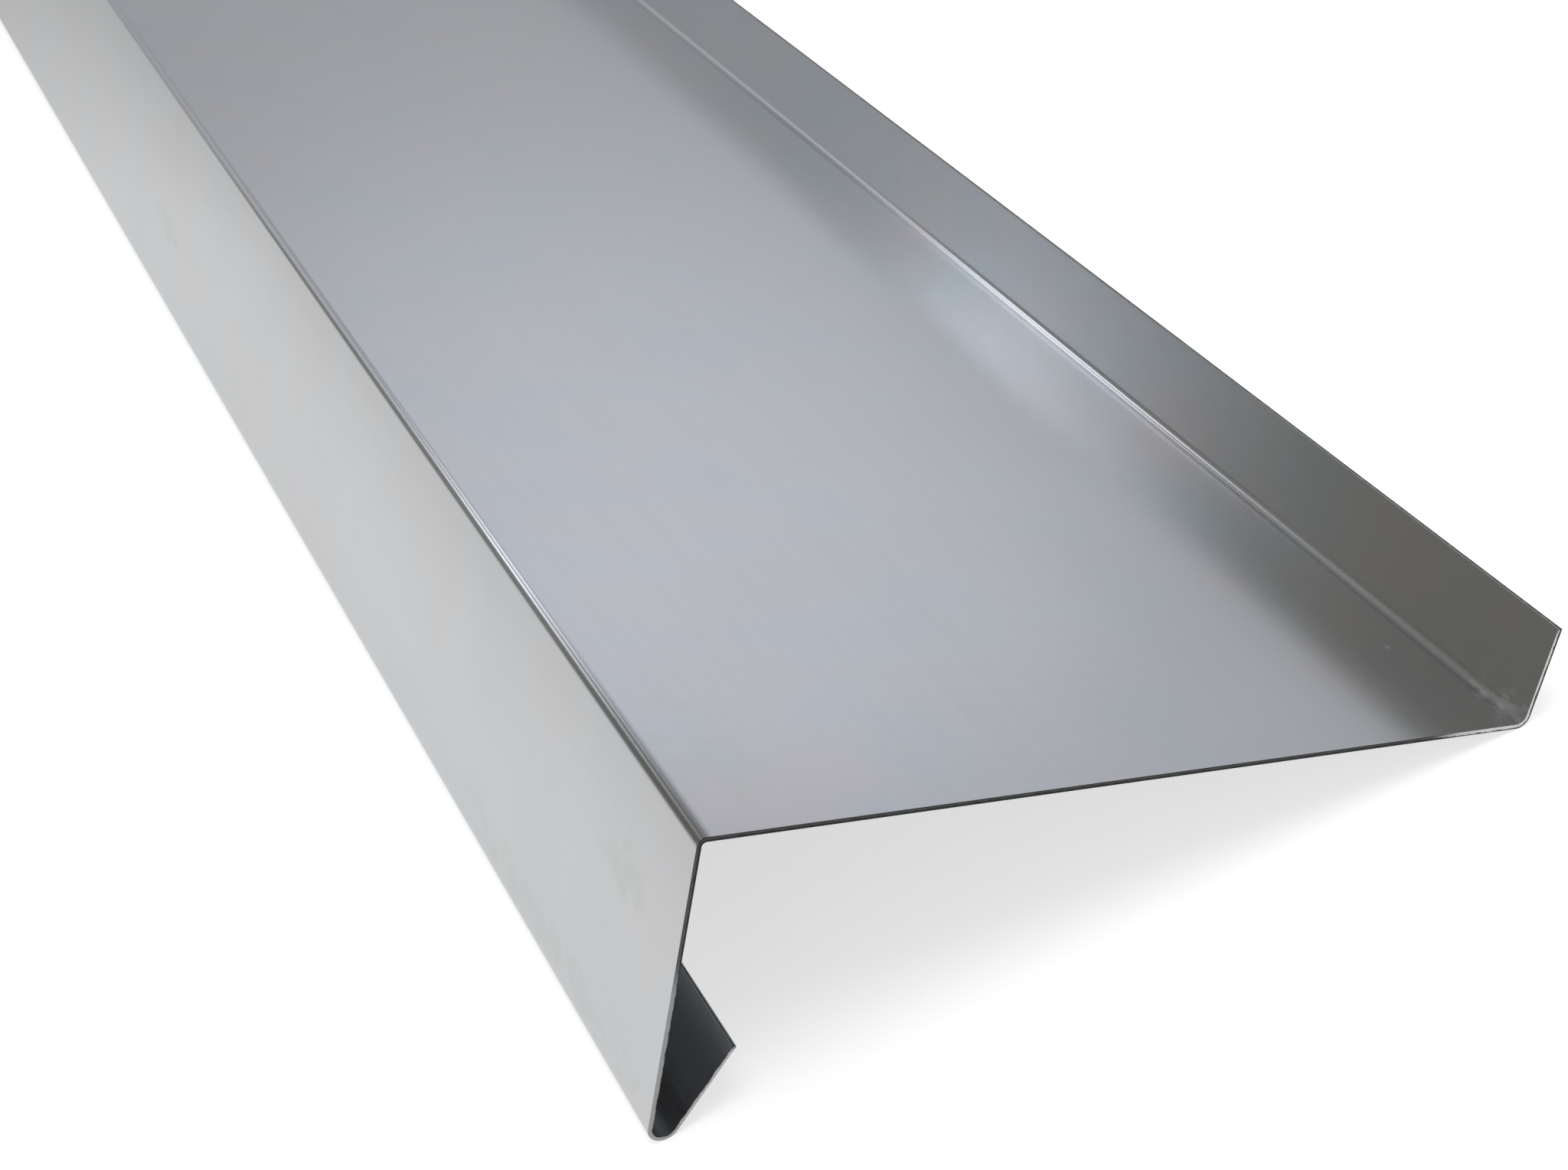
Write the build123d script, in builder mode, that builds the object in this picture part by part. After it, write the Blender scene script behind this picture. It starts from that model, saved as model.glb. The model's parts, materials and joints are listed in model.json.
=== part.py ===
"""Parapet coping: one length of bare aluminium sheet, folded three times.

The section has a flat web that covers the head of the wall, an upstand along its back edge,
a drop down its front, and a drip lip that folds back up behind the drop. The coping is stored
as it lies on a level floor, on the rounded foot of its drop and on the heel of its upstand,
so its web slopes down to the back.

The frame: X runs from the drop to the upstand, Y along the length, Z up. The origin is at the
middle of the bounding box's base. Sizes of the section are written in its own square axes,
"across" from the drop's front face and "up" from the web's top face.
"""

import math
import os

from build123d import *

# Sheet and stock length, in millimetres
sheet_thickness = 1.0
coping_length = 1000.0

# Section, each size measured over the outside of the sheet
web_width = 200.0
upstand_height = 25.0
drop_height = 73.0
lip_length = 25.0

# Angle between the lip and the drop, in degrees
lip_angle = 27.0

# Inside radii of the three bends
heel_bend_radius = 2.0
nose_bend_radius = 1.0
foot_bend_radius = 2.5

# Outside radii, on the far face of the sheet
heel_outside_radius = heel_bend_radius + sheet_thickness
nose_outside_radius = nose_bend_radius + sheet_thickness
foot_outside_radius = foot_bend_radius + sheet_thickness

# The exposed face is the one that the weather meets: the upstand's front, the web's top,
# the drop's front and the lip's underside. Its corners before bending:
heel_corner = (web_width - sheet_thickness, 0)
nose_corner = (0, 0)
upstand_edge = (heel_corner[0], upstand_height - sheet_thickness)

# The foot's round bend touches the drop's front and reaches the full drop height, so its
# sharp corner lies lower by the set-back of the turn.
foot_centre = (foot_outside_radius, foot_outside_radius - drop_height)
foot_setback = foot_outside_radius / math.tan(math.radians(lip_angle) / 2)
foot_corner = (0, foot_centre[1] - foot_setback)

# The lip is straight from the end of the foot's bend to its cut edge.
lip_lean = math.radians(lip_angle)
lip_reach = foot_setback + lip_length - foot_outside_radius
lip_edge = (
    lip_reach * math.sin(lip_lean),
    foot_corner[1] + lip_reach * math.cos(lip_lean),
)

# The floor touches the foot's and the heel's outer rounds, so its slope against the web is the
# slope of the line of their centres plus the turn that the larger round adds.
heel_centre = (web_width - heel_outside_radius, heel_outside_radius - sheet_thickness)
span_across = heel_centre[0] - foot_centre[0]
span_up = heel_centre[1] - foot_centre[1]
round_difference = foot_outside_radius - heel_outside_radius
resting_tilt = math.atan2(span_up, span_across) + math.asin(
    round_difference / math.hypot(span_across, span_up)
)


def at_rest(across, up):
    """Place of a section point in the resting section, before it is centred."""
    return (
        across * math.cos(resting_tilt) + up * math.sin(resting_tilt),
        up * math.cos(resting_tilt) - across * math.sin(resting_tilt),
    )


# At rest the section reaches from the foot's round to the back corner of the upstand's edge,
# and down to the foot's round.
foot_x, foot_z = at_rest(*foot_centre)
back_x = at_rest(web_width, upstand_height - sheet_thickness)[0]
middle_x = (foot_x - foot_outside_radius + back_x) / 2
floor_z = foot_z - foot_outside_radius

# The section's plane stands across the length, its normal towards the near end.
section_plane = Plane(
    origin=(-middle_x, 0, -floor_z),
    x_dir=(math.cos(resting_tilt), 0, -math.sin(resting_tilt)),
    z_dir=(0, -1, 0),
)

# The coping: the exposed face's outline, thickened towards the wall and run along the length
with BuildPart() as coping:
    with BuildSketch(section_plane):
        with BuildLine():
            FilletPolyline(
                upstand_edge,
                heel_corner,
                nose_corner,
                foot_corner,
                lip_edge,
                radius=[heel_bend_radius, nose_outside_radius, foot_outside_radius],
            )
            offset(amount=sheet_thickness, side=Side.LEFT)
        make_face()
    extrude(amount=coping_length / 2, both=True)

coping.part.label = "coping"

os.makedirs("parts", exist_ok=True)
export_step(coping.part, "parts/coping.step")

print("resting tilt of the web, degrees:", round(math.degrees(resting_tilt), 3))
print("size at rest, millimetres:", coping.part.bounding_box().size)
print("volume, cubic millimetres:", round(coping.part.volume, 1))
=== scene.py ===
# %% [markdown]
# # A folded aluminium coping
#
# This lesson dresses one piece of stock: a metre of bare aluminium sheet, folded into the cap of a
# parapet wall. The frame brings the real size and the resting place. The script draws the sheet
# again with finer bends, gives it a mill finish and cut edges, and puts it in a small studio.

# %% Load the frame
import json
import math

import bmesh
import bpy
from mathutils import Matrix, Vector


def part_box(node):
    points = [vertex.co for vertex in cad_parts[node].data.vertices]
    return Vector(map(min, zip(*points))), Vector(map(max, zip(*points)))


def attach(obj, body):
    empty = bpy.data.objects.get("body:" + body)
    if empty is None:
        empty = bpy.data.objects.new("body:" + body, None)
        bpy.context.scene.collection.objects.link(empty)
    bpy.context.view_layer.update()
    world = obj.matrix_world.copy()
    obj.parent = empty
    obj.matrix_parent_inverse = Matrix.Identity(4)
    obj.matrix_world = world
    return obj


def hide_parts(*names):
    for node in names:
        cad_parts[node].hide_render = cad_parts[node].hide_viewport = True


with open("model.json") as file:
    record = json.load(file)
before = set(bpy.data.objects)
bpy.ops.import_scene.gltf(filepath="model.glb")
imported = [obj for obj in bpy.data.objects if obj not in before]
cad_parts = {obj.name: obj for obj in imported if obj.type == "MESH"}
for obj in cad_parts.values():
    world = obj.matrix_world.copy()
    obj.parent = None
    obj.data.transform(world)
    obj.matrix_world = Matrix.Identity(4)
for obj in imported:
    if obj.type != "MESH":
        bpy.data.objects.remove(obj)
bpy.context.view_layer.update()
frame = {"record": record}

MM = 0.001
lowest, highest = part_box("coping")
print("coping from", [round(v / MM, 1) for v in lowest], "to", [round(v / MM, 1) for v in highest], "mm")

# %% [markdown]
# ## The section's sizes
#
# A sheet-metal worker describes a folded section by its outside sizes, the sheet's thickness and
# the inside radius of each bend. The same few numbers are written here in metres. Only the exposed
# face is drawn, and it lies inside the heel's bend but outside the bends at the nose and the foot,
# so those two radii grow by the sheet. The length and the slope at rest are read from the frame,
# so they can't disagree with it.
#
# The upstand leans outward by one degree. A brake seldom folds a corner to exactly square, and a
# square corner of shiny metal would show the same reflection on both of its sides. The photograph
# shows two different greys there.

# %% Sizes of the sheet and its folds
SHEET = 1.0 * MM
WEB = 200 * MM
UPSTAND = 25 * MM
DROP = 73 * MM
LIP = 25 * MM
LIP_ANGLE = math.radians(27)
HEEL_RADIUS = 2.0 * MM
UPSTAND_LEAN = math.radians(1.0)
NOSE_RADIUS = 1.0 * MM + SHEET
FOOT_RADIUS = 2.5 * MM + SHEET

LENGTH = highest.y - lowest.y
seat_axis = next(m["axis"] for m in frame["record"]["mounts"] if m["name"] == "wall_seat")
REST_TILT = math.atan2(-seat_axis[0], -seat_axis[2])
print("length", round(LENGTH, 4), "m; the web slopes", round(math.degrees(REST_TILT), 2), "degrees")

# %% [markdown]
# ## The camera
#
# The picture looks along the length from above the near end, rolled a little clockwise. Its place
# was worked out from the vanishing point of the long edges and from the square bends. It is
# written here as a place, a compass direction, a tilt and a roll, as for a tripod head.

# %% Camera
CAMERA_PLACE = Vector((-168.5, -826.8, 372.75)) * MM
CAMERA_HEADING = math.radians(18.428)
CAMERA_PITCH = math.radians(-36.670)
CAMERA_ROLL = math.radians(-11.750)
CAMERA_LENS = 56.75
SENSOR_WIDTH = 36.0

camera_data = bpy.data.cameras.new("camera")
camera_data.lens = CAMERA_LENS
camera_data.sensor_width = SENSOR_WIDTH
camera_data.clip_start = 10 * MM
camera = bpy.data.objects.new("camera", camera_data)
bpy.context.scene.collection.objects.link(camera)
aim = Matrix.Rotation(-CAMERA_HEADING, 4, "Z") @ Matrix.Rotation(math.radians(90) + CAMERA_PITCH, 4, "X")
camera.matrix_world = Matrix.Translation(CAMERA_PLACE) @ aim @ Matrix.Rotation(CAMERA_ROLL, 4, "Z")
bpy.context.scene.camera = camera
print("camera looks along", [round(v, 3) for v in (camera.matrix_world.to_3x3() @ Vector((0, 0, -1)))])

# %% [markdown]
# ## The sheet's outline
#
# The real coping starts as a flat strip and is folded on a brake. Its section could be a curve, or
# the solid's own mesh could be smoothed. Here the exposed face is drawn fold by fold instead, as
# one line seen from the near end: straight runs are extruded from the line's last point, and each
# bend is spun from it about the bend's centre. That keeps every radius exact, and every point can
# remember how far across the flat strip it lies, so that a pattern follows the sheet round its
# bends.

# %% Drawing helpers
BEND_STEP = math.radians(6)
SUPPORT = 0.35 * MM
UPSTAND_PARTS, WEB_PARTS, DROP_PARTS, LIP_PARTS = 4, 20, 8, 4


def run(bm, points, across, end, parts):
    """Extrude the line's last point straight on to end, with a support point close to each end."""
    start = points[-1].co.copy()
    distance = (end - start).length
    inner = (distance - 2 * SUPPORT) / parts
    for step in [SUPPORT] + [inner] * parts + [SUPPORT]:
        point = bmesh.ops.extrude_vert_indiv(bm, verts=[points[-1]])["verts"][0]
        bmesh.ops.translate(bm, verts=[point], vec=(end - start).normalized() * step)
        point[across] = points[-1][across] + step
        points.append(point)


def bend(bm, points, across, centre, angle):
    """Spin the line's last point about the bend's centre; a positive angle turns +X towards -Z."""
    radius = (points[-1].co - centre).length
    steps = math.ceil(abs(angle) / BEND_STEP)
    for _ in range(steps):
        made = bmesh.ops.spin(
            bm, geom=[points[-1]], cent=centre, axis=(0, 1, 0), angle=angle / steps, steps=1,
            use_merge=False, use_duplicate=False,
        )
        point = next(g for g in made["geom_last"] if isinstance(g, bmesh.types.BMVert))
        point[across] = points[-1][across] + radius * abs(angle) / steps
        points.append(point)


def along(angle):
    """Direction in the section, as an angle up from +X."""
    return Vector((math.cos(angle), 0, math.sin(angle)))


# %% Draw the exposed face's line
sheet = bmesh.new()
across_strip = sheet.verts.layers.float.new("across_strip")
through_sheet = sheet.verts.layers.float.new("through_sheet")
line = list(bmesh.ops.create_vert(sheet, co=(WEB - SHEET, 0, UPSTAND - SHEET))["vert"])

# The upstand keeps its edge, so its lean moves the heel's bend inward by less than half a mm
upstand_out = along(-UPSTAND_LEAN)
upstand_up = along(math.pi / 2 - UPSTAND_LEAN)
upstand_run = (line[0].co.z - HEEL_RADIUS - HEEL_RADIUS * upstand_out.z) / upstand_up.z
heel_top = line[0].co - upstand_up * upstand_run
heel_centre = heel_top - upstand_out * HEEL_RADIUS
run(sheet, line, across_strip, heel_top, UPSTAND_PARTS)
bend(sheet, line, across_strip, heel_centre, math.radians(90) - UPSTAND_LEAN)
HEEL_END = line[-1][across_strip]
run(sheet, line, across_strip, Vector((NOSE_RADIUS, 0, 0)), WEB_PARTS)
NOSE_START = line[-1][across_strip]
bend(sheet, line, across_strip, Vector((NOSE_RADIUS, 0, -NOSE_RADIUS)), math.radians(-90))
NOSE_END = line[-1][across_strip]

foot_centre = Vector((FOOT_RADIUS, 0, FOOT_RADIUS - DROP))
run(sheet, line, across_strip, foot_centre - Vector((FOOT_RADIUS, 0, 0)), DROP_PARTS)
FOOT_START = line[-1][across_strip]
bend(sheet, line, across_strip, foot_centre, LIP_ANGLE - math.pi)
lip_edge = line[-1].co + along(math.pi / 2 - LIP_ANGLE) * (LIP - FOOT_RADIUS)
run(sheet, line, across_strip, lip_edge, LIP_PARTS)
STRIP_WIDTH = line[-1][across_strip]
print("line of", len(line), "points; the flat strip is", round(STRIP_WIDTH / MM, 1), "mm wide")

# %% [markdown]
# ## Length, waves and thickness
#
# The line is extruded along the length in rows. A long flat is never perfectly flat after
# folding, so the web and the drop get waves of a tenth of a millimetre, which fade out at the
# bends and the ends. Then the face is given its thickness on the wall side. A Solidify modifier
# would do that too, but the operator leaves real faces on the cut edges, which the next steps mark
# and round. A second stored value tells how deep in the sheet each point lies: 0 on the exposed
# side, 1 on the wall side.

# %% Run the line along the length
ROWS = 48
row = list(sheet.edges)
for step in [SUPPORT] + [(LENGTH - 2 * SUPPORT) / ROWS] * ROWS + [SUPPORT]:
    made = bmesh.ops.extrude_edge_only(sheet, edges=row)["geom"]
    moved = [g for g in made if isinstance(g, bmesh.types.BMVert)]
    bmesh.ops.translate(sheet, verts=moved, vec=(0, step, 0))
    row = [g for g in made if isinstance(g, bmesh.types.BMEdge)]
print("exposed face of", len(sheet.faces), "faces")

# %% Waves of the flats
WEB_WAVE = 0.12 * MM
DROP_WAVE = 0.08 * MM
WEB_WAVE_LENGTH = 310 * MM
DROP_WAVE_LENGTH = 220 * MM
WEB_WAVE_SKEW = 1.3
DROP_WAVE_START = 0.4
WAVE_FADE = 30 * MM


def hump(value, start, end):
    """0 outside a flat, and a smooth rise to 1 at its middle."""
    share = min(1.0, max(0.0, (value - start) / (end - start)))
    return math.sin(math.pi * share) ** 2


for v in sheet.verts:
    a = v[across_strip]
    fade = min(1.0, v.co.y / WAVE_FADE, (LENGTH - v.co.y) / WAVE_FADE)
    web_turn = 2 * math.pi * (v.co.y / WEB_WAVE_LENGTH + WEB_WAVE_SKEW * (a - HEEL_END) / WEB)
    drop_turn = 2 * math.pi * (v.co.y / DROP_WAVE_LENGTH + DROP_WAVE_START)
    v.co.z -= WEB_WAVE * hump(a, HEEL_END, NOSE_START) * fade * (0.5 + 0.5 * math.sin(web_turn))
    v.co.x += DROP_WAVE * hump(a, NOSE_END, FOOT_START) * fade * (0.5 + 0.5 * math.sin(drop_turn))
print("waves of up to", round(WEB_WAVE / MM, 2), "mm on the web,", round(DROP_WAVE / MM, 2), "on the drop")

# %% Give the sheet its thickness
bmesh.ops.recalc_face_normals(sheet, faces=sheet.faces)
web_middle = Vector((WEB / 2, LENGTH / 2, 0))
middle_face = min(sheet.faces, key=lambda f: (f.calc_center_median() - web_middle).length)
if middle_face.normal.z < 0:
    bmesh.ops.reverse_faces(sheet, faces=sheet.faces)
exposed_verts = set(sheet.verts)
bmesh.ops.solidify(sheet, geom=list(sheet.faces), thickness=SHEET)
for v in sheet.verts:
    v[through_sheet] = 0.0 if v in exposed_verts else 1.0
cut_faces = [f for f in sheet.faces if len({v in exposed_verts for v in f.verts}) == 2]
print("sheet of", len(sheet.faces), "faces,", len(cut_faces), "of them on the cut edges")

# %% [markdown]
# ## A map that follows the sheet
#
# Rolling marks run along the length and follow the sheet round every bend, so the pattern needs a
# map of the flat strip: across it in one direction, along it in the other, both in metres. Blender
# could unwrap the mesh, but the stored places give the same map with no stretch and no guesswork.
# The cut faces get their own place on it: how far along the cut, and how deep through the sheet.

# %% Map of the flat strip
strip_map = sheet.loops.layers.uv.new("strip")
WALL_SIDE_OFFSET = 1.0
for f in sheet.faces:
    for corner in f.loops:
        v = corner.vert
        offset = 0.0 if v in exposed_verts else WALL_SIDE_OFFSET
        corner[strip_map].uv = (v[across_strip] + offset, v.co.y)

for f in cut_faces:
    f.material_index = 1
    normal_along = abs(f.normal.y) > 0.5
    for corner in f.loops:
        v = corner.vert
        depth = 0.0 if v in exposed_verts else 1.0
        corner[strip_map].uv = (v[across_strip] if normal_along else v.co.y, depth)
print("strip map of", round(STRIP_WIDTH, 3), "by", round(LENGTH, 3), "m")

# %% [markdown]
# ## Arrises
#
# No cut edge is perfectly sharp. The shear's blade drags the metal of the exposed side over into a
# small round, and leaves a sharper arris on the wall side. Both are real geometry here, because
# the round catches a thin line of light all along the cut. The bevel operator does it, and not the
# modifier, because each side has its own radius.

# %% Round the arrises of the cut edges
ROLLOVER = 0.15 * MM
BURR = 0.08 * MM


def round_arris(side_verts, radius, segments):
    """Round the corner between the cut faces and one side of the sheet."""
    corner_edges = [
        e for e in sheet.edges
        if len({f.material_index for f in e.link_faces}) == 2 and all(v in side_verts for v in e.verts)
    ]
    made = bmesh.ops.bevel(
        sheet, geom=corner_edges, offset=radius, offset_type="OFFSET", segments=segments,
        profile=0.5, affect="EDGES", material=-1, clamp_overlap=True,
    )
    for f in made["faces"]:
        f.material_index = 1
    print("rounded", len(corner_edges), "edges to", round(radius / MM, 2), "mm")


wall_verts = set(sheet.verts) - exposed_verts
round_arris(wall_verts, BURR, 2)
round_arris(exposed_verts, ROLLOVER, 4)

# %% [markdown]
# ## Put it at rest
#
# The section was drawn with its web level. At rest it lies on the rounded foot of its drop and on
# its heel, so it is turned by the slope from the frame and moved until the foot's round touches
# the box. The mesh is turned and not the object, which stays at the origin, so that patterns on
# the object's coordinates keep their size and place. The weighted normals keep the flats flat to
# the eye beside the small rounds.

# %% Turn, move and make the object
FLATS_LEAD = 80

turn = Matrix.Rotation(REST_TILT, 4, "Y")
foot_at_rest = turn @ foot_centre
to_floor = Vector((
    lowest.x + FOOT_RADIUS - foot_at_rest.x, lowest.y, lowest.z + FOOT_RADIUS - foot_at_rest.z,
))
bmesh.ops.transform(sheet, matrix=Matrix.Translation(to_floor) @ turn, verts=sheet.verts)
bmesh.ops.recalc_face_normals(sheet, faces=sheet.faces)
for f in sheet.faces:
    f.smooth = True

mesh = bpy.data.meshes.new("folded_sheet")
sheet.to_mesh(mesh)
sheet.free()
coping = bpy.data.objects.new("folded_sheet", mesh)
bpy.context.scene.collection.objects.link(coping)
weighted = coping.modifiers.new("flat faces lead", "WEIGHTED_NORMAL")
weighted.keep_sharp = False
weighted.weight = FLATS_LEAD
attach(coping, "root")
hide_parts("coping")
print("folded_sheet has", sum(len(p.vertices) - 2 for p in mesh.polygons), "triangles")

# %% [markdown]
# ## The mill finish
#
# Bare aluminium as it leaves the rolling mill is satin, not polished. Rolls leave fine grooves
# along the length, so a reflection smears across the sheet more than along it: the shader is
# anisotropic, with its grain along the strip's map. The oxide gives a faint mottling of bluish
# and warm greys. Noise makes both, because a picture of metal would repeat along the length and
# show its tiles.

# %% Start a material
def new_material(name):
    """A material with only a Principled shader and its output."""
    material = bpy.data.materials.new(name)
    material.use_nodes = True
    tree = material.node_tree
    tree.nodes.clear()
    shader = tree.nodes.new("ShaderNodeBsdfPrincipled")
    output = tree.nodes.new("ShaderNodeOutputMaterial")
    tree.links.new(shader.outputs["BSDF"], output.inputs["Surface"])
    return material, tree, shader


def plug(tree, source, target):
    """Link a source socket to a target socket, or set the target to a plain value."""
    if isinstance(source, bpy.types.NodeSocket):
        tree.links.new(source, target)
    else:
        target.default_value = source


# %% Nodes for patterns and numbers
def noise(tree, vector, size, stretch=(1, 1, 1), detail=3.0, rough=0.5):
    """Noise whose blotches are about size metres across, drawn out by stretch."""
    mapping = tree.nodes.new("ShaderNodeMapping")
    tree.links.new(vector, mapping.inputs["Vector"])
    mapping.inputs["Scale"].default_value = [1 / (size * s) for s in stretch]
    texture = tree.nodes.new("ShaderNodeTexNoise")
    texture.inputs["Scale"].default_value = 1.0
    texture.inputs["Detail"].default_value = detail
    texture.inputs["Roughness"].default_value = rough
    tree.links.new(mapping.outputs["Vector"], texture.inputs["Vector"])
    return texture.outputs["Fac"]


def remap(tree, value, low, high, to_low, to_high, smooth=False):
    """Spread value from low..high to to_low..to_high, clamped."""
    node = tree.nodes.new("ShaderNodeMapRange")
    node.interpolation_type = "SMOOTHSTEP" if smooth else "LINEAR"
    plug(tree, value, node.inputs["Value"])
    for name, number in (("From Min", low), ("From Max", high), ("To Min", to_low), ("To Max", to_high)):
        node.inputs[name].default_value = number
    return node.outputs["Result"]


def math_node(tree, operation, first, second=0.0):
    """A Math node."""
    node = tree.nodes.new("ShaderNodeMath")
    node.operation = operation
    plug(tree, first, node.inputs[0])
    plug(tree, second, node.inputs[1])
    return node.outputs["Value"]


def mix(tree, factor, first, second, blend="MIX"):
    """A Mix node for colours; its colour sockets are inputs 6 and 7 and output 2."""
    node = tree.nodes.new("ShaderNodeMix")
    node.data_type = "RGBA"
    node.blend_type = blend
    plug(tree, factor, node.inputs["Factor"])
    plug(tree, first, node.inputs[6])
    plug(tree, second, node.inputs[7])
    return node.outputs[2]


# %% Mottled metal
COOL_MOTTLE = (0.618, 0.650, 0.668, 1)
WARM_MOTTLE = (0.652, 0.643, 0.650, 1)
MOTTLE_SIZE = 34 * MM
# Most of a noise texture's values lie between the first two; the second two are nearer together
# and give clearer blotches
NOISE_LOW, NOISE_HIGH = 0.3, 0.7
BLOTCH_LOW, BLOTCH_HIGH = 0.35, 0.65

mill, tree, shader = new_material("mill_finish")
shader.inputs["Metallic"].default_value = 1.0
coordinates = tree.nodes.new("ShaderNodeTexCoord")
place = coordinates.outputs["Object"]
strip_node = tree.nodes.new("ShaderNodeUVMap")
strip_node.uv_map = "strip"
strip = strip_node.outputs["UV"]

blotches = noise(tree, place, MOTTLE_SIZE, detail=2.0)
tint = mix(tree, remap(tree, blotches, BLOTCH_LOW, BLOTCH_HIGH, 0, 1), COOL_MOTTLE, WARM_MOTTLE)
print("mottled in blotches of", round(MOTTLE_SIZE / MM), "mm")

# %% Rolling grooves and the grain's direction
GROOVE_WIDTH = 2.4 * MM
GROOVE_STRETCH = 60
GROOVE_COLOUR = (0.45, 0.46, 0.48, 1)
GROOVE_SHARE = 0.025
CLOUD_SIZE = 60 * MM
SMOOTHEST, ROUGHEST = 0.190, 0.215
GROOVE_ROUGHNESS = 0.005
GRAIN = 0.6

rolling = noise(tree, strip, GROOVE_WIDTH, stretch=(1, GROOVE_STRETCH, 1), detail=1.0)
grooves = remap(tree, rolling, NOISE_LOW, NOISE_HIGH, 0.0, GROOVE_SHARE)
tint = mix(tree, grooves, tint, GROOVE_COLOUR)

cloud = noise(tree, place, CLOUD_SIZE, detail=3.0)
roughness = math_node(
    tree, "ADD", remap(tree, cloud, NOISE_LOW, NOISE_HIGH, SMOOTHEST, ROUGHEST),
    remap(tree, rolling, NOISE_LOW, NOISE_HIGH, -GROOVE_ROUGHNESS, GROOVE_ROUGHNESS),
)
shader.inputs["Anisotropic"].default_value = GRAIN
grain_way = tree.nodes.new("ShaderNodeTangent")
grain_way.direction_type = "UV_MAP"
grain_way.uv_map = "strip"
tree.links.new(grain_way.outputs["Tangent"], shader.inputs["Tangent"])
print("roughness from", SMOOTHEST, "to", ROUGHEST, "and a grain of", GRAIN)

# %% [markdown]
# ## Handling marks, scuffs and painted shade
#
# Hands, benches and the brake leave marks: smudges on the web and the drop. The heel is darker
# and duller near the end. Along the nose near the end a darker, duller line is painted in as a
# painted reflection of the dark in that bend, and the inside of the fold behind the drop is
# painted darker and duller as painted shade in the crease. The heel's near end is scuffed whitish,
# and one bright speck lies on the web. Each mark is a soft patch at a place on the flat strip, so
# it is set down where it lies on the sheet and bends with it. They could be painted on a picture,
# but a patch is a few numbers and stays smooth from any distance.

# %% A soft patch on the strip
# Shares of a mark's half size where it starts to fade and where it has gone
MARK_CORE, MARK_RIM = 0.2, 1.2


def patch(across, along, half_across, half_along, ragged=0.5):
    """1 at a place on the flat strip, fading to 0 at its ragged rim; places and half sizes in mm."""
    centred = tree.nodes.new("ShaderNodeMapping")
    tree.links.new(strip, centred.inputs["Vector"])
    scale = Vector((1 / (half_across * MM), 1 / (half_along * MM), 1.0))
    centred.inputs["Scale"].default_value = scale
    centred.inputs["Location"].default_value = (-across * MM * scale.x, -along * MM * scale.y, 0)
    spread = tree.nodes.new("ShaderNodeVectorMath")
    spread.operation = "LENGTH"
    tree.links.new(centred.outputs["Vector"], spread.inputs[0])
    rim_noise = noise(tree, strip, min(half_across, half_along) * MM, detail=3.0)
    wobble = remap(tree, rim_noise, NOISE_LOW, NOISE_HIGH, -ragged, ragged)
    reach = math_node(tree, "ADD", spread.outputs["Value"], wobble)
    return remap(tree, reach, MARK_CORE, MARK_RIM, 1.0, 0.0, smooth=True)


# %% Handling marks and painted shade
# Place across the strip and along it, half sizes, raggedness, colour, strength and dulling. In
# order: two smudges on the web's near corner, a painted dark reflection along the nose, a darker
# line along the heel, painted shade inside the fold, which is on the wall side's part of the map,
# and four smudges on the drop
WALL_SIDE = WALL_SIDE_OFFSET / MM
MARKS_AND_PAINTED_SHADE = (
    (197, 12, 24, 16, 0.6, (0.690, 0.640, 0.655, 1), 0.75, 0.0),
    (208, 24, 12, 18, 0.6, (0.600, 0.630, 0.600, 1), 0.60, 0.0),
    # Painted reflection: the nose's bend near the end is darkened in its colour
    (220.9, 0, 2.2, 95, 0.0, (0.240, 0.248, 0.244, 1), 0.80, 0.05),
    (23.1, 0, 1.6, 120, 0.15, (0.400, 0.392, 0.376, 1), 0.60, 0.12),
    # Painted shade: the crease inside the fold is darkened in its colour
    (WALL_SIDE + 296, 0, 8.5, 400, 0.0, (0.310, 0.325, 0.335, 1), 0.80, 0.30),
    (266, 405, 5, 14, 0.8, (0.560, 0.590, 0.585, 1), 0.50, 0.0),
    (247, 26, 6, 12, 0.8, (0.585, 0.605, 0.600, 1), 0.70, 0.0),
    (286, 60, 5, 50, 0.8, (0.580, 0.610, 0.605, 1), 0.60, 0.0),
    (264, 175, 22, 95, 0.6, (0.630, 0.672, 0.708, 1), 0.80, 0.0),
)
for across, along_it, half_across, half_along, ragged, colour, strength, dulling in MARKS_AND_PAINTED_SHADE:
    mask = patch(across, along_it, half_across, half_along, ragged)
    tint = mix(tree, math_node(tree, "MULTIPLY", mask, strength), tint, colour)
    if dulling:
        roughness = math_node(tree, "ADD", roughness, math_node(tree, "MULTIPLY", mask, dulling))
print(len(MARKS_AND_PAINTED_SHADE), "handling marks")

# %% Scuffs beside the heel's near end and one bright speck on the web
SCRATCH_WIDTH = 1.8 * MM
SCRATCH_STRETCH = 2.5
SCRATCH_LOW, SCRATCH_HIGH = 0.48, 0.64
SCUFF_COLOUR = (0.90, 0.89, 0.90, 1)
SCUFF_TINT = 0.60
SCUFF_ROUGHNESS = 0.40

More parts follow.
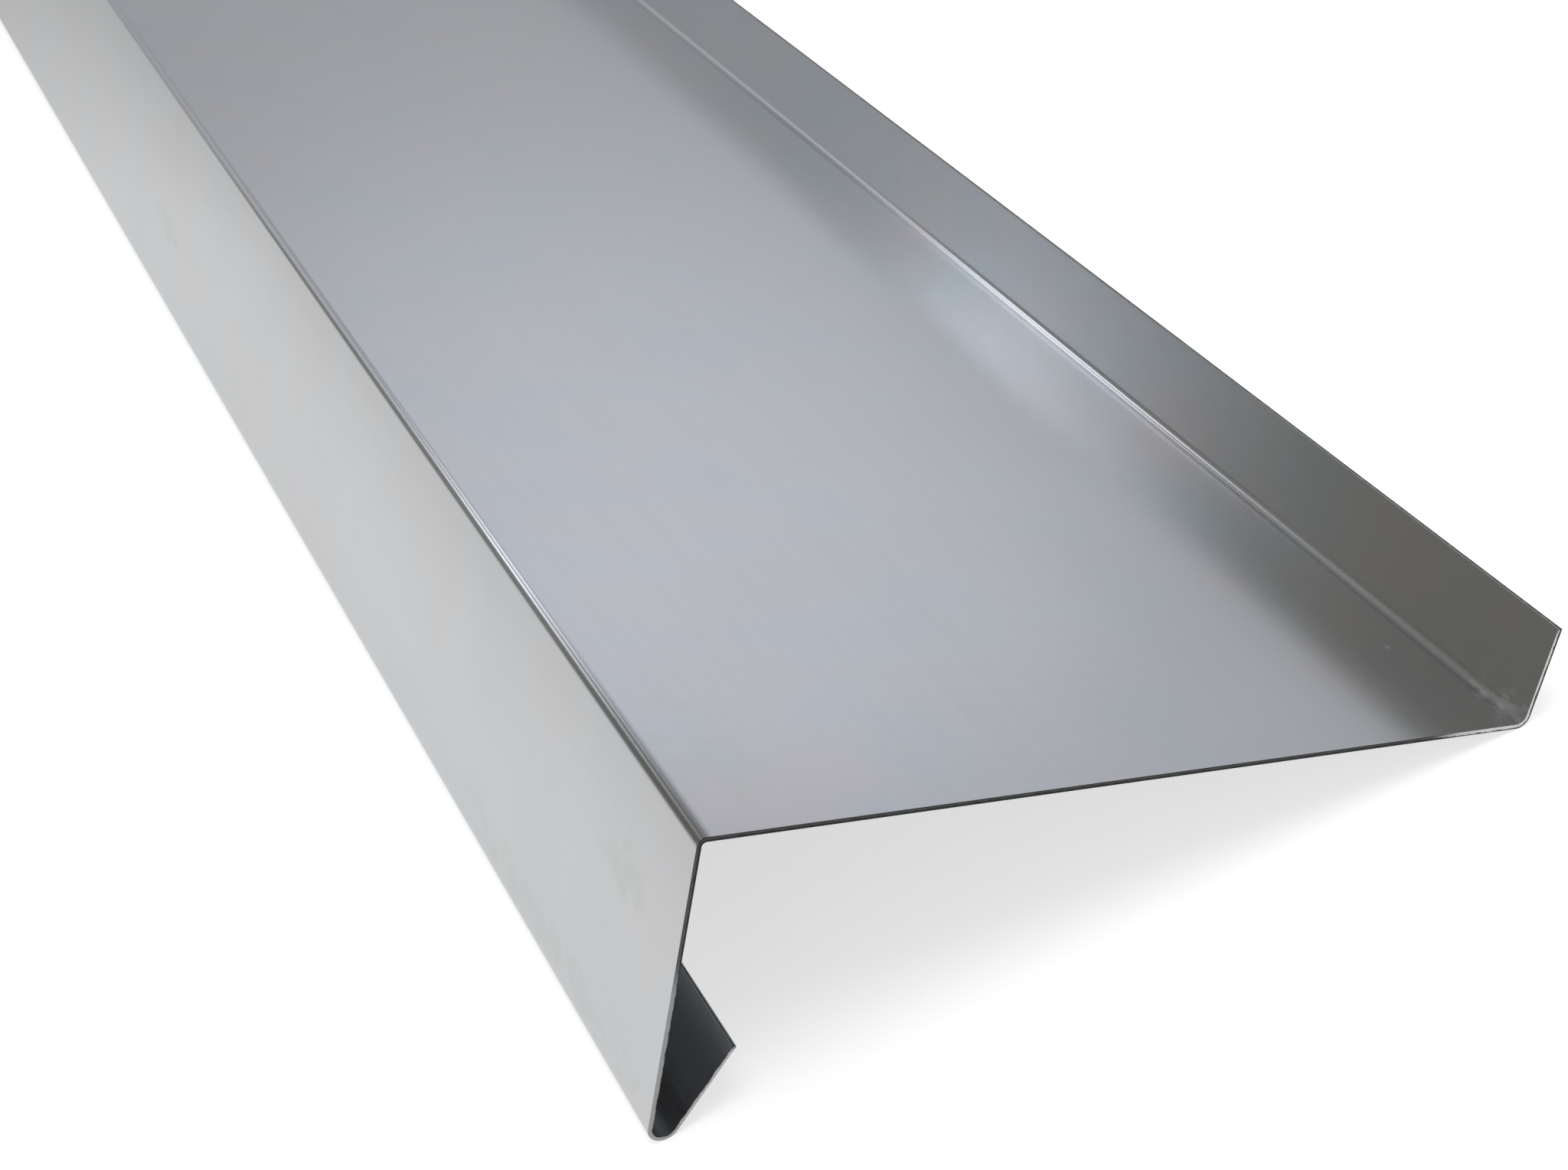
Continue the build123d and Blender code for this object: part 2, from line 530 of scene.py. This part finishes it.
scratches = noise(tree, strip, SCRATCH_WIDTH, stretch=(1, SCRATCH_STRETCH, 1), detail=3.0)
heel_scuffs = patch(across=23.5, along=6, half_across=4.5, half_along=12, ragged=0.6)
speck = patch(across=34, along=35, half_across=0.7, half_along=0.9, ragged=0.2)
scratched = remap(tree, scratches, SCRATCH_LOW, SCRATCH_HIGH, 0.0, 1.0)
scuffs = math_node(tree, "MULTIPLY", heel_scuffs, scratched)
scuffs = math_node(tree, "MAXIMUM", scuffs, speck)
tint = mix(tree, math_node(tree, "MULTIPLY", scuffs, SCUFF_TINT), tint, SCUFF_COLOUR)
roughness = math_node(tree, "ADD", roughness, math_node(tree, "MULTIPLY", scuffs, SCUFF_ROUGHNESS))
plug(tree, tint, shader.inputs["Base Color"])
plug(tree, roughness, shader.inputs["Roughness"])
mesh.materials.append(mill)
print("mill_finish of", len(mill.node_tree.nodes), "nodes")

# %% [markdown]
# ## The cut edges
#
# A shear leaves two bands on a sheet's edge. The blade first burnishes the metal, which stays
# light and smooth, and then the rest breaks away dark and rough. How far the blade went in varies
# along the cut: it is set here at a few places across the flat strip and blended between them. A
# straight line between the bands would look drawn, so noise makes it ragged. The burnished band's
# brightness is also set at places along the cut, and it is painted light and shade: near white on
# the upstand's and the heel's ends as a painted highlight, near black along the web's end as
# painted shade, and in between on the drop and the lip. The torn band is dark, rough metal, and its
# near-black colour is partly painted shade. The lightest stretches scatter light like a fine matt
# surface, so they are made less metallic, and they catch the lamp as a painted highlight.

# %% Start the cut edges' material
def attribute(tree, name):
    """A value stored on the mesh's points."""
    node = tree.nodes.new("ShaderNodeAttribute")
    node.attribute_name = name
    return node.outputs["Fac"]


cut, tree, shader = new_material("cut_edge")
across = attribute(tree, "across_strip")
depth = attribute(tree, "through_sheet")
coordinates = tree.nodes.new("ShaderNodeTexCoord")
place = coordinates.outputs["Object"]

# %% Depth of the burnished band, and its brightness with painted highlight and shade
# Places across the strip in mm, with the share of the depth that the blade burnished there
BURNISHED = ((0, 0.42), (21, 0.44), (27, 0.66), (41, 0.62), (50, 0.40), (222, 0.40), (230, 0.55),
             (250, 0.60), (257, 0.85), (292, 0.90), (321, 0.75))
# and with the burnished band's reflectance, which paints a highlight on the upstand's and the
# heel's ends and shade along the web's end
BURNISH_AND_PAINTED_LIGHT = ((0, 0.40), (1.5, 0.95), (34, 0.95), (42, 0.75), (49, 0.09), (60, 0.07), (222, 0.08),
          (250, 0.10), (257, 0.36), (292, 0.42), (300, 0.55), (320, 0.62), (321, 0.25))


def along_cut(tree, across, places):
    """A value set at a few places across the strip and blended straight between them."""
    node = tree.nodes.new("ShaderNodeFloatCurve")
    curve = node.mapping.curves[0]
    for number, (position, value) in enumerate(places):
        location = (position * MM / STRIP_WIDTH, value)
        if number == 0:
            point = curve.points[0]
            point.location = location
        elif number == len(places) - 1:
            point = curve.points[-1]
            point.location = location
        else:
            point = curve.points.new(*location)
        point.handle_type = "VECTOR"
    node.mapping.update()
    plug(tree, math_node(tree, "DIVIDE", across, STRIP_WIDTH), node.inputs["Value"])
    return node.outputs["Value"]


burnished = along_cut(tree, across, BURNISHED)
burnish_and_painted_light = along_cut(tree, across, BURNISH_AND_PAINTED_LIGHT)
band_with_painted_light = tree.nodes.new("ShaderNodeCombineColor")
for channel in range(3):
    plug(tree, burnish_and_painted_light, band_with_painted_light.inputs[channel])
print("cut edge set at", len(BURNISHED), "and", len(BURNISH_AND_PAINTED_LIGHT), "places")

# %% Ragged line between the bands
# The torn band's near-black colour is partly painted shade
TORN_BAND_AND_PAINTED_SHADE = (0.034, 0.034, 0.038, 1)
RAGGED_SIZE = 1.5 * MM
RAGGED_DEPTH = 0.14
BAND_BLEND = 0.10

band_noise = noise(tree, place, RAGGED_SIZE, detail=3.0)
ragged = remap(tree, band_noise, NOISE_LOW, NOISE_HIGH, -RAGGED_DEPTH, RAGGED_DEPTH)
edge = math_node(tree, "SUBTRACT", math_node(tree, "ADD", burnished, ragged), depth)
light = remap(tree, edge, -BAND_BLEND, BAND_BLEND, 0.0, 1.0, smooth=True)
tint = mix(tree, light, TORN_BAND_AND_PAINTED_SHADE, band_with_painted_light.outputs["Color"])

# %% Torn metal
TEAR_SIZE = 0.25 * MM
TEAR_COLOUR = (0.12, 0.12, 0.125, 1)
TEAR_SHARE = 0.35
TEAR_STRENGTH = 0.4
TEAR_DEPTH = 0.03 * MM

tears = noise(tree, place, TEAR_SIZE, detail=3.0)
torn = remap(tree, tears, BLOTCH_LOW, BLOTCH_HIGH, 0.0, TEAR_SHARE)
tint = mix(tree, torn, tint, TEAR_COLOUR)
bump = tree.nodes.new("ShaderNodeBump")
bump.inputs["Strength"].default_value = TEAR_STRENGTH
bump.inputs["Distance"].default_value = TEAR_DEPTH
tree.links.new(tears, bump.inputs["Height"])
tree.links.new(bump.outputs["Normal"], shader.inputs["Normal"])

# %% Finish of the cut edges
METALLIC_FROM, METALLIC_TO, MATT_METALLIC = 0.30, 0.80, 0.15
TORN_ROUGHNESS, BURNISHED_ROUGHNESS = 0.62, 0.34

# Where the painted highlight is brightest the edge is less metallic, so it catches the lamp
metallic = remap(tree, burnish_and_painted_light, METALLIC_FROM, METALLIC_TO, 1.0, MATT_METALLIC)
plug(tree, tint, shader.inputs["Base Color"])
plug(tree, metallic, shader.inputs["Metallic"])
plug(tree, remap(tree, light, 0, 1, TORN_ROUGHNESS, BURNISHED_ROUGHNESS), shader.inputs["Roughness"])
mesh.materials.append(cut)
print("materials:", [m.name for m in mesh.materials])

# %% [markdown]
# ## The floor
#
# The real picture was cut out on white. With nothing but a white world under it the coping would
# seem to float, so a pale floor takes that place and keeps the coping's own soft shadow. Camera
# and glossy rays get a little extra white from the floor, so that it reads as a white background
# without more light on the metal.
#
# The drop mirrors the floor beside it, and it is a little darker in the photograph than a plain
# white floor would make it. So for glossy rays that white dims from five centimetres out from the
# drop, and farther along the length. For the camera it grows far out, so that no horizon shows in
# a low view.

# %% Floor
FLOOR_SIZE = 16.0

floor_shape = bmesh.new()
bmesh.ops.create_grid(floor_shape, x_segments=1, y_segments=1, size=FLOOR_SIZE / 2)
floor_mesh = bpy.data.meshes.new("floor")
floor_shape.to_mesh(floor_mesh)
floor_shape.free()
floor = bpy.data.objects.new("floor", floor_mesh)
bpy.context.scene.collection.objects.link(floor)
print("floor of", FLOOR_SIZE, "m")

# %% Floor paper
FLOOR_GREY = (0.60, 0.60, 0.60, 1)
FLOOR_ROUGHNESS = 0.9
FLOOR_WHITE = 0.33
# The glossy white's share out from the drop, towards -X, and ahead along the length, towards +Y
DIM_FROM, DIM_TO, DIM_SHARE = -225 * MM, -160 * MM, 0.25
AHEAD_FROM, AHEAD_TO, AHEAD_SHARE = 20 * MM, 320 * MM, 0.40

paper, tree, shader = new_material("floor_paper")
shader.inputs["Base Color"].default_value = FLOOR_GREY
shader.inputs["Roughness"].default_value = FLOOR_ROUGHNESS
shader.inputs["Specular IOR Level"].default_value = 0.0
shader.inputs["Emission Color"].default_value = (1, 1, 1, 1)
rays = tree.nodes.new("ShaderNodeLightPath")
seen = math_node(tree, "MAXIMUM", rays.outputs["Is Camera Ray"], rays.outputs["Is Glossy Ray"])
floor_place = tree.nodes.new("ShaderNodeTexCoord")
floor_axes = tree.nodes.new("ShaderNodeSeparateXYZ")
tree.links.new(floor_place.outputs["Object"], floor_axes.inputs["Vector"])
beside = remap(tree, floor_axes.outputs["X"], DIM_FROM, DIM_TO, DIM_SHARE, 1.0, smooth=True)
ahead = remap(tree, floor_axes.outputs["Y"], AHEAD_FROM, AHEAD_TO, 1.0, AHEAD_SHARE)
dimmed = math_node(tree, "MULTIPLY", beside, ahead)
dimmed = math_node(tree, "MAXIMUM", dimmed, rays.outputs["Is Camera Ray"])
white = math_node(tree, "MULTIPLY", math_node(tree, "MULTIPLY", seen, dimmed), FLOOR_WHITE)
print("glossy white from", FLOOR_WHITE, "down to", round(FLOOR_WHITE * DIM_SHARE * AHEAD_SHARE, 3))

# %% Extra white for the camera
# Near and far out, and the distances between which it grows
CAMERA_WHITE, FAR_WHITE = 0.24, 0.60
FAR_FROM, FAR_TO = 0.8, 2.5

far_out = tree.nodes.new("ShaderNodeVectorMath")
far_out.operation = "LENGTH"
tree.links.new(floor_place.outputs["Object"], far_out.inputs[0])
extra = remap(tree, far_out.outputs["Value"], FAR_FROM, FAR_TO, CAMERA_WHITE, FAR_WHITE)
camera_white = math_node(tree, "MULTIPLY", rays.outputs["Is Camera Ray"], extra)
plug(tree, math_node(tree, "ADD", white, camera_white), shader.inputs["Emission Strength"])
floor_mesh.materials.append(paper)
print("camera's extra white from", CAMERA_WHITE, "to", FAR_WHITE)

# %% [markdown]
# ## Light and cards
#
# Metal shows what stands around it. The world is a plain white room, and cards stand in it as in
# a product studio. A picture of a room could be used instead, but with cards each level on the
# metal comes from a card that can be moved or toned by itself. The camera doesn't see them, and
# they light nothing else: only the metal shows them.
#
# Grey walls stand ahead and to the right, darker ones behind, at the near right and, low and
# close, to the left, and a grey ceiling hangs above. Soft-edged cards in front of them give the
# web its even light and make the bright line and patch along the heel. One round soft lamp above
# the near end draws the shadow on the floor, and the metal doesn't mirror it.

# %% World
# The room's light on matt surfaces, where the camera and the metal see a white of 1
FILL = 0.62

world = bpy.data.worlds.new("white_room")
bpy.context.scene.world = world
world.use_nodes = True
tree = world.node_tree
background = tree.nodes["Background"]
background.inputs["Color"].default_value = (1, 1, 1, 1)
rays = tree.nodes.new("ShaderNodeLightPath")
seen = math_node(tree, "MAXIMUM", rays.outputs["Is Camera Ray"], rays.outputs["Is Glossy Ray"])
seen = math_node(tree, "MAXIMUM", seen, rays.outputs["Is Transmission Ray"])
plug(tree, remap(tree, seen, 0, 1, FILL, 1.0), background.inputs["Strength"])
print("white room, with", FILL, "of its light on matt surfaces")

# %% A card's glow
def glow_material(name, tone, soft):
    """Light of one tone, whose outer share soft fades out to nothing."""
    material = bpy.data.materials.new(name)
    material.use_nodes = True
    material.cycles.emission_sampling = "FRONT" if soft else "NONE"
    tree = material.node_tree
    tree.nodes.clear()
    glow = tree.nodes.new("ShaderNodeEmission")
    glow.inputs["Color"].default_value = (*tone, 1)
    output = tree.nodes.new("ShaderNodeOutputMaterial")
    surface = glow.outputs["Emission"]
    if soft:
        place_on_card = tree.nodes.new("ShaderNodeTexCoord")
        spread = tree.nodes.new("ShaderNodeVectorMath")
        spread.operation = "LENGTH"
        tree.links.new(place_on_card.outputs["Object"], spread.inputs[0])
        fade = remap(tree, spread.outputs["Value"], 1 - soft, 1.0, 0.0, 1.0, smooth=True)
        clear = tree.nodes.new("ShaderNodeBsdfTransparent")
        blend = tree.nodes.new("ShaderNodeMixShader")
        tree.links.new(fade, blend.inputs["Fac"])
        tree.links.new(glow.outputs["Emission"], blend.inputs[1])
        tree.links.new(clear.outputs["BSDF"], blend.inputs[2])
        surface = blend.outputs["Shader"]
    tree.links.new(surface, output.inputs["Surface"])
    return material


# %% A card
def card(name, tone, place, turned, half_width, half_height, soft=0.0):
    """A card of one tone at a place, which only glossy rays meet."""
    shape = bmesh.new()
    bmesh.ops.create_grid(shape, x_segments=1, y_segments=1, size=1.0)
    made = bpy.data.meshes.new(name)
    shape.to_mesh(made)
    shape.free()
    piece = bpy.data.objects.new(name, made)
    bpy.context.scene.collection.objects.link(piece)
    piece.matrix_world = (
        Matrix.Translation(place) @ turned.to_4x4()
        @ Matrix.Diagonal((half_width, half_height, 1, 1))
    )
    piece.visible_camera = False
    piece.visible_diffuse = False
    piece.visible_shadow = False
    piece.visible_transmission = False
    made.materials.append(glow_material(name, tone, soft))
    return piece


# %% Cards placed by direction
CARD_CENTRE = Vector((0, -300, 40)) * MM
HEEL_PLACE = Vector((98, -320, 3)) * MM


def compass(azimuth, elevation):
    """Unit vector; azimuth 0 is +Y and grows towards +X, in degrees."""
    a, e = math.radians(azimuth), math.radians(elevation)
    return Vector((math.sin(a) * math.cos(e), math.cos(a) * math.cos(e), math.sin(e)))


def sky_card(name, tone, azimuth, elevation, wide, high, distance, soft):
    """A card out at a compass direction, wide and high in degrees to each side."""
    direction = compass(azimuth, elevation)
    half = [distance * math.tan(math.radians(angle)) for angle in (wide, high)]
    turned = (-direction).to_track_quat("Z", "Y").to_matrix()
    return card(name, tone, CARD_CENTRE + direction * distance, turned, *half, soft)


def fan_card(name, tone, off_axis, round_axis, half_off, half_round, distance, soft):
    """A card placed from the heel: degrees off the length axis, and degrees round it from the left."""
    off, about = math.radians(off_axis), math.radians(round_axis)
    direction = Vector((-math.sin(off) * math.cos(about), math.cos(off), math.sin(off) * math.sin(about)))
    side = Vector((math.sin(about), 0, math.cos(about)))
    turned = Matrix((side, (-direction).cross(side), -direction)).transposed()
    half = [distance * math.tan(math.radians(angle)) for angle in (half_round, half_off)]
    return card(name, tone, HEEL_PLACE + direction * distance, turned, *half, soft)


# %% Walls and ceiling
def wall_card(name, tone, start, end, height):
    """An upright card that stands on the floor between two points."""
    start, end = Vector(start), Vector(end)
    middle = (start + end) / 2 + Vector((0, 0, height / 2))
    side = (end - start).normalized()
    turned = Matrix((side, (0, 0, 1), side.cross(Vector((0, 0, 1))))).transposed()
    return card(name, tone, middle, turned, (end - start).length / 2, height / 2)


WALL_HEIGHT = 5.2
AHEAD_LEFT = (-6.0, 5.0, 0)
AHEAD_RIGHT = (6.0, 5.0, 0)
MIDDLE_RIGHT = (6.0, 1.5, 0)
BEHIND_RIGHT = (3.0, -5.0, 0)
BEHIND_LEFT = (-2.0, -5.0, 0)

wall_card("card_ahead", (0.43, 0.44, 0.46), AHEAD_LEFT, AHEAD_RIGHT, WALL_HEIGHT)
wall_card("card_right", (0.50, 0.52, 0.55), AHEAD_RIGHT, MIDDLE_RIGHT, WALL_HEIGHT)
wall_card("card_near_right", (0.20, 0.20, 0.20), MIDDLE_RIGHT, BEHIND_RIGHT, WALL_HEIGHT)
wall_card("card_behind", (0.20, 0.20, 0.20), BEHIND_RIGHT, BEHIND_LEFT, WALL_HEIGHT)
sky_card(
    "card_ceiling", (0.25, 0.25, 0.25),
    azimuth=0, elevation=90, wide=60, high=60, distance=3.2, soft=0.0,
)

# %% Soft light on the web
sky_card(
    "card_web", (0.755, 0.773, 0.831),
    azimuth=36, elevation=18, wide=22, high=14, distance=4.0, soft=0.75,
)
sky_card(
    "card_web_high", (0.850, 0.870, 0.950),
    azimuth=35, elevation=23, wide=9, high=5, distance=3.9, soft=0.9,
)
sky_card(
    "card_lamp", (1.65, 1.72, 1.85),
    azimuth=14, elevation=38, wide=17, high=6.0, distance=1.655, soft=0.6,
)

# %% The heel's highlight, which the web and the upstand share
fan_card(
    "card_side_glow", (0.54, 0.56, 0.585),
    off_axis=33, round_axis=58, half_off=14, half_round=16, distance=3.4, soft=0.6,
)
fan_card(
    "card_side_high", (1.54, 1.55, 1.64),
    off_axis=42.7, round_axis=67.5, half_off=5.3, half_round=8.0, distance=3.2, soft=0.25,
)
fan_card(
    "card_side_lamp", (3.4, 3.45, 3.7),
    off_axis=39.1, round_axis=64, half_off=2.8, half_round=8.0, distance=3.0, soft=0.95,
)

# %% The close left wall in two bands, which darkens the near corner
LEFT_LOW, LEFT_TOP = 0.6, 0.4
LEFT_NEAR = (-0.96, -0.95)
LEFT_FAR = (-0.46, 0.62)
LEFT_TOP_FAR = (-0.4925, 0.518)

wall_card("card_left", (0.250, 0.250, 0.245), (*LEFT_NEAR, 0), (*LEFT_FAR, 0), LEFT_LOW)
wall_card(
    "card_left_top", (0.270, 0.250, 0.198),
    (*LEFT_NEAR, LEFT_LOW), (*LEFT_TOP_FAR, LEFT_LOW), LEFT_TOP,
)

# %% Soft lamp for the shadow
LAMP_PLACE = Vector((-100, -600, 1300)) * MM
LAMP_SIZE = 800 * MM
LAMP_POWER = 6.8

lamp_data = bpy.data.lights.new("soft_lamp", "AREA")
lamp_data.shape = "DISK"
lamp_data.size = LAMP_SIZE
lamp_data.energy = LAMP_POWER
lamp = bpy.data.objects.new("soft_lamp", lamp_data)
bpy.context.scene.collection.objects.link(lamp)
lamp.location = LAMP_PLACE
lamp.visible_glossy = False
lamp.visible_camera = False
print("lamp", round(LAMP_SIZE, 2), "m wide at a height of", round(LAMP_PLACE.z, 2), "m")

# %% [markdown]
# ## Finish
#
# The picture's colours are shown as they are computed. The sheet has to stay inside the solids'
# box.

# %% Looks of the picture
bpy.context.scene.view_settings.view_transform = "Standard"
print("view transform:", bpy.context.scene.view_settings.view_transform)
